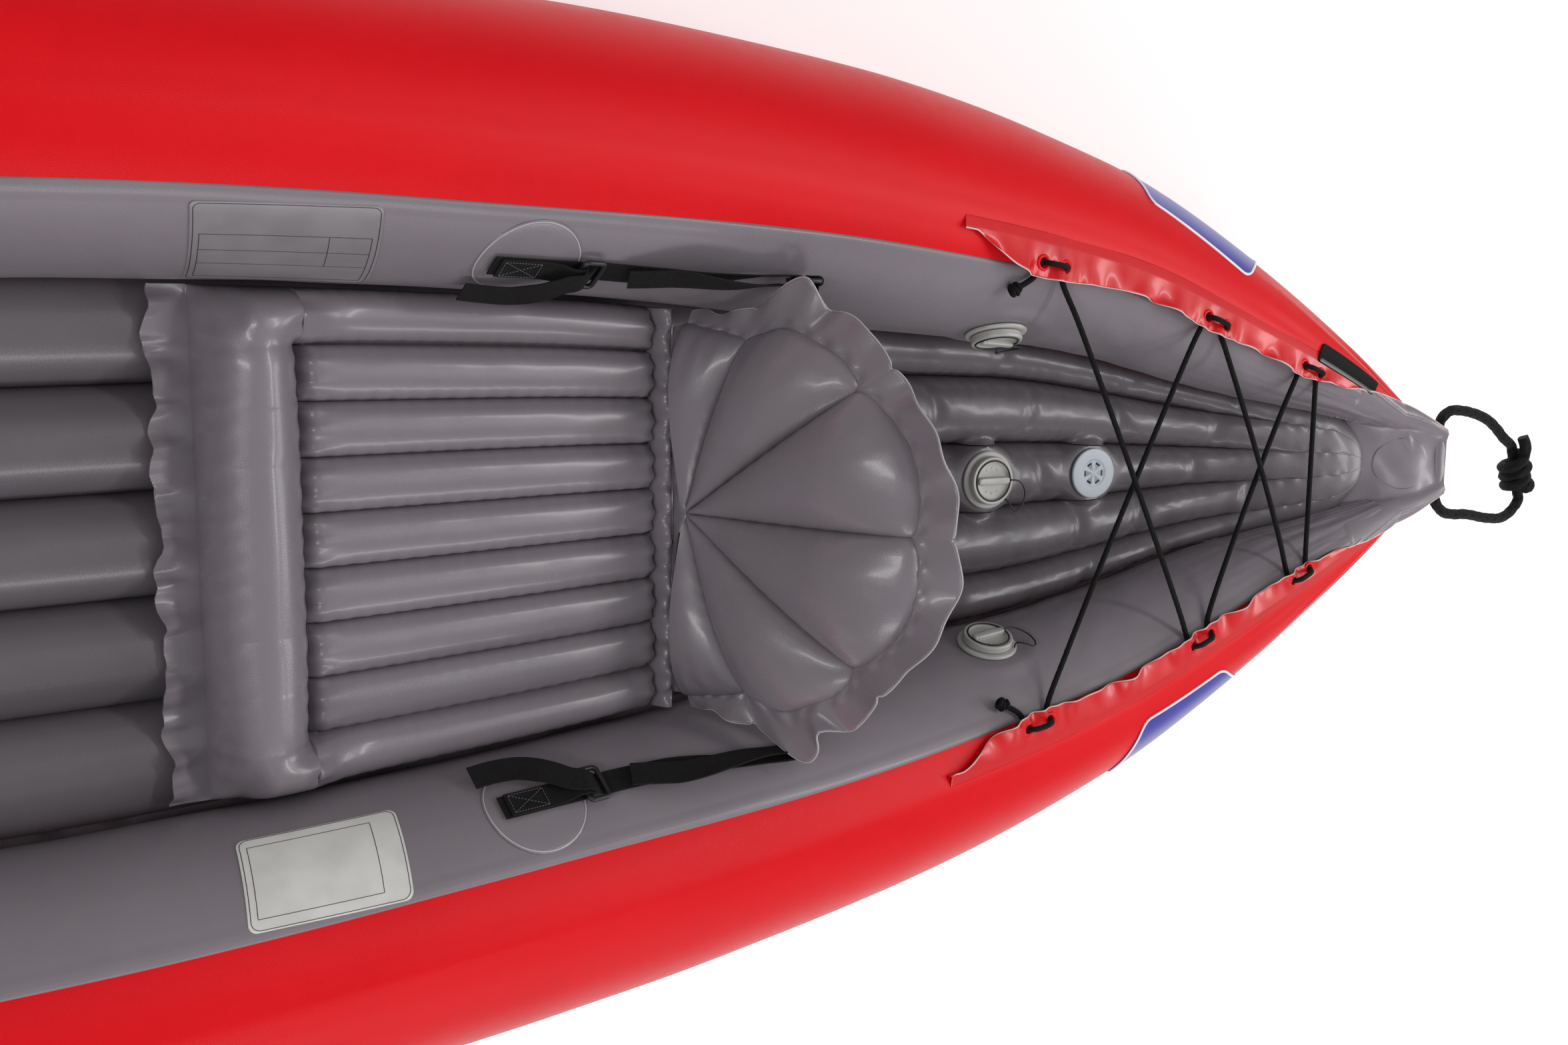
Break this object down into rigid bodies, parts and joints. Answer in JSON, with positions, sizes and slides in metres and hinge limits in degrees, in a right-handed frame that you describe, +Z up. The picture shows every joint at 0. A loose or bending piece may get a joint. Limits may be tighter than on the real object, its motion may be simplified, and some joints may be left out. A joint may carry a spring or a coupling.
{
  "type": "inflatable kayak",
  "caption": "One-person inflatable kayak: side tubes, channelled floor, inflated seat with strapped fan backrest, laced stern, screw valves and a rope grab loop.",
  "frame": {"origin": "on the ground under the middle of the hull, without its rope", "axes": "+X to the stern, +Y to starboard, +Z up; the sitter faces -X"},
  "size_m": [2.7996, 0.7874, 0.3367],
  "materials": {
    "grey_fabric": "semi-gloss coated fabric",
    "valve_plastic": "satin moulded plastic",
    "rubber": "matt rubber",
    "cord": "matt braided cord",
    "steel": "bright spring wire",
    "black_plastic": "satin moulded plastic",
    "webbing": "matt woven webbing",
    "red_fabric": "semi-gloss coated fabric",
    "relief_plastic": "satin moulded plastic"
  },
  "bodies": {
    "hull": {"backrest_hinge_strip": "grey_fabric", "bow_end_piece": "grey_fabric", "floor_chamber": "grey_fabric", "floor_valve_housing": "valve_plastic", "floor_valve_lanyard": "cord", "floor_valve_spring": "steel", "grab_rope": "cord", "grab_rope_knot": "cord", "port_bow_flap": "red_fabric", "port_inner_panel": "grey_fabric", "port_lacing_knot": "cord", "port_seat_strap": "webbing", "port_stern_flap": "red_fabric", "port_strap_patch": "grey_fabric", "port_strap_tab": "webbing", "port_tube": "red_fabric", "port_valve_housing": "valve_plastic", "port_valve_lanyard": "cord", "port_valve_spring": "steel", "relief_valve_housing": "relief_plastic", "relief_valve_spring": "steel", "seat_pad": "grey_fabric", "starboard_bow_flap": "red_fabric", "starboard_inner_panel": "grey_fabric", "starboard_lacing_knot": "cord", "starboard_seat_strap": "webbing", "starboard_stern_flap": "red_fabric", "starboard_strap_patch": "grey_fabric", "starboard_strap_tab": "webbing", "starboard_tube": "red_fabric", "starboard_valve_housing": "valve_plastic", "starboard_valve_lanyard": "cord", "starboard_valve_spring": "steel", "stern_end_piece": "grey_fabric", "stern_lacing": "cord", "stern_strip_patch": "webbing"},
    "backrest": {"backrest": "grey_fabric", "backrest_flange": "grey_fabric", "seat_valve": "valve_plastic", "port_back_tab": "webbing", "starboard_back_tab": "webbing"},
    "port_front_ring": {"port_front_ring": "black_plastic"},
    "port_back_ring": {"port_back_ring": "black_plastic"},
    "starboard_front_ring": {"starboard_front_ring": "black_plastic"},
    "starboard_back_ring": {"starboard_back_ring": "black_plastic"},
    "port_valve_gasket": {"port_valve_gasket": "rubber"},
    "port_valve_cap": {"port_valve_cap": "valve_plastic"},
    "port_valve_stem": {"port_valve_stem": "valve_plastic", "port_valve_seal": "rubber"},
    "starboard_valve_gasket": {"starboard_valve_gasket": "rubber"},
    "starboard_valve_cap": {"starboard_valve_cap": "valve_plastic"},
    "starboard_valve_stem": {"starboard_valve_stem": "valve_plastic", "starboard_valve_seal": "rubber"},
    "floor_valve_gasket": {"floor_valve_gasket": "rubber"},
    "floor_valve_cap": {"floor_valve_cap": "valve_plastic"},
    "floor_valve_stem": {"floor_valve_stem": "valve_plastic", "floor_valve_seal": "rubber"},
    "relief_valve_poppet": {"relief_valve_poppet": "rubber"},
    "seat_valve_plug": {"seat_valve_plug": "valve_plastic"}
  },
  "joints": [
    {"name": "backrest_fold", "type": "hinge", "parent": "hull", "child": "backrest", "pos_m": [0.4538, 0, 0.1], "axis": [0, -1, 0], "range_deg": [0, 62], "deforming": ["backrest_flange", "backrest_hinge_strip", "port_seat_strap", "starboard_seat_strap"]},
    {"name": "port_front_ring_turn", "type": "hinge", "parent": "hull", "child": "port_front_ring", "pos_m": [0.33365, -0.18816, 0.16944], "axis": [0.0308, -0.587, 0.809], "range_deg": [0, 60], "deforming": ["port_seat_strap"]},
    {"name": "port_back_ring_turn", "type": "hinge", "parent": "backrest", "child": "port_back_ring", "pos_m": [0.51958, -0.18392, 0.19761], "axis": [-0.1633, -0.0032, 0.9866], "range_deg": [-8, 8], "deforming": ["port_seat_strap"]},
    {"name": "starboard_front_ring_turn", "type": "hinge", "parent": "hull", "child": "starboard_front_ring", "pos_m": [0.33365, 0.18816, 0.16944], "axis": [-0.0308, -0.587, -0.809], "range_deg": [0, 60], "deforming": ["starboard_seat_strap"]},
    {"name": "starboard_back_ring_turn", "type": "hinge", "parent": "backrest", "child": "starboard_back_ring", "pos_m": [0.51958, 0.18392, 0.19761], "axis": [-0.1633, 0.0032, 0.9866], "range_deg": [-8, 8], "deforming": ["starboard_seat_strap"]},
    {"name": "port_valve_cap_lift", "type": "slide", "parent": "hull", "child": "port_valve_gasket", "axis": [-0.1006, 0.9441, 0.3139], "range_m": [0, 0.02], "deforming": ["port_valve_lanyard"]},
    {"name": "port_valve_cap_turn", "type": "hinge", "parent": "port_valve_gasket", "child": "port_valve_cap", "pos_m": [0.75479, -0.13921, 0.1442], "axis": [-0.1006, 0.9441, 0.3139], "range_deg": [0, 90], "deforming": ["port_valve_lanyard"]},
    {"name": "port_valve_stem_press", "type": "slide", "parent": "hull", "child": "port_valve_stem", "axis": [0.1006, -0.9441, -0.3139], "range_m": [0, 0.005], "stiffness_N_per_m": 300, "springref_m": -0.003, "deforming": ["port_valve_spring"]},
    {"name": "starboard_valve_cap_lift", "type": "slide", "parent": "hull", "child": "starboard_valve_gasket", "axis": [-0.1006, -0.9441, 0.3139], "range_m": [0, 0.02], "deforming": ["starboard_valve_lanyard"]},
    {"name": "starboard_valve_cap_turn", "type": "hinge", "parent": "starboard_valve_gasket", "child": "starboard_valve_cap", "pos_m": [0.75479, 0.13921, 0.1442], "axis": [-0.1006, -0.9441, 0.3139], "range_deg": [0, 90], "deforming": ["starboard_valve_lanyard"]},
    {"name": "starboard_valve_stem_press", "type": "slide", "parent": "hull", "child": "starboard_valve_stem", "axis": [0.1006, 0.9441, -0.3139], "range_m": [0, 0.005], "stiffness_N_per_m": 300, "springref_m": -0.003, "deforming": ["starboard_valve_spring"]},
    {"name": "floor_valve_cap_lift", "type": "slide", "parent": "hull", "child": "floor_valve_gasket", "axis": [-0.1208, 0, 0.9927], "range_m": [0, 0.02], "deforming": ["floor_valve_lanyard"]},
    {"name": "floor_valve_cap_turn", "type": "hinge", "parent": "floor_valve_gasket", "child": "floor_valve_cap", "pos_m": [0.79993, 0, 0.08896], "axis": [-0.1208, 0, 0.9927], "range_deg": [0, 90], "deforming": ["floor_valve_lanyard"]},
    {"name": "floor_valve_stem_press", "type": "slide", "parent": "hull", "child": "floor_valve_stem", "axis": [0.1208, 0, -0.9927], "range_m": [0, 0.005], "stiffness_N_per_m": 300, "springref_m": -0.003, "deforming": ["floor_valve_spring"]},
    {"name": "relief_valve_lift", "type": "slide", "parent": "hull", "child": "relief_valve_poppet", "axis": [-0.1637, 0, 0.9865], "range_m": [0, 0.0025], "stiffness_N_per_m": 300, "springref_m": -0.002, "deforming": ["relief_valve_spring"]},
    {"name": "seat_plug_pull", "type": "slide", "parent": "backrest", "child": "seat_valve_plug", "axis": [0.9272, 0, -0.3746], "range_m": [0, 0.012]}
  ]
}
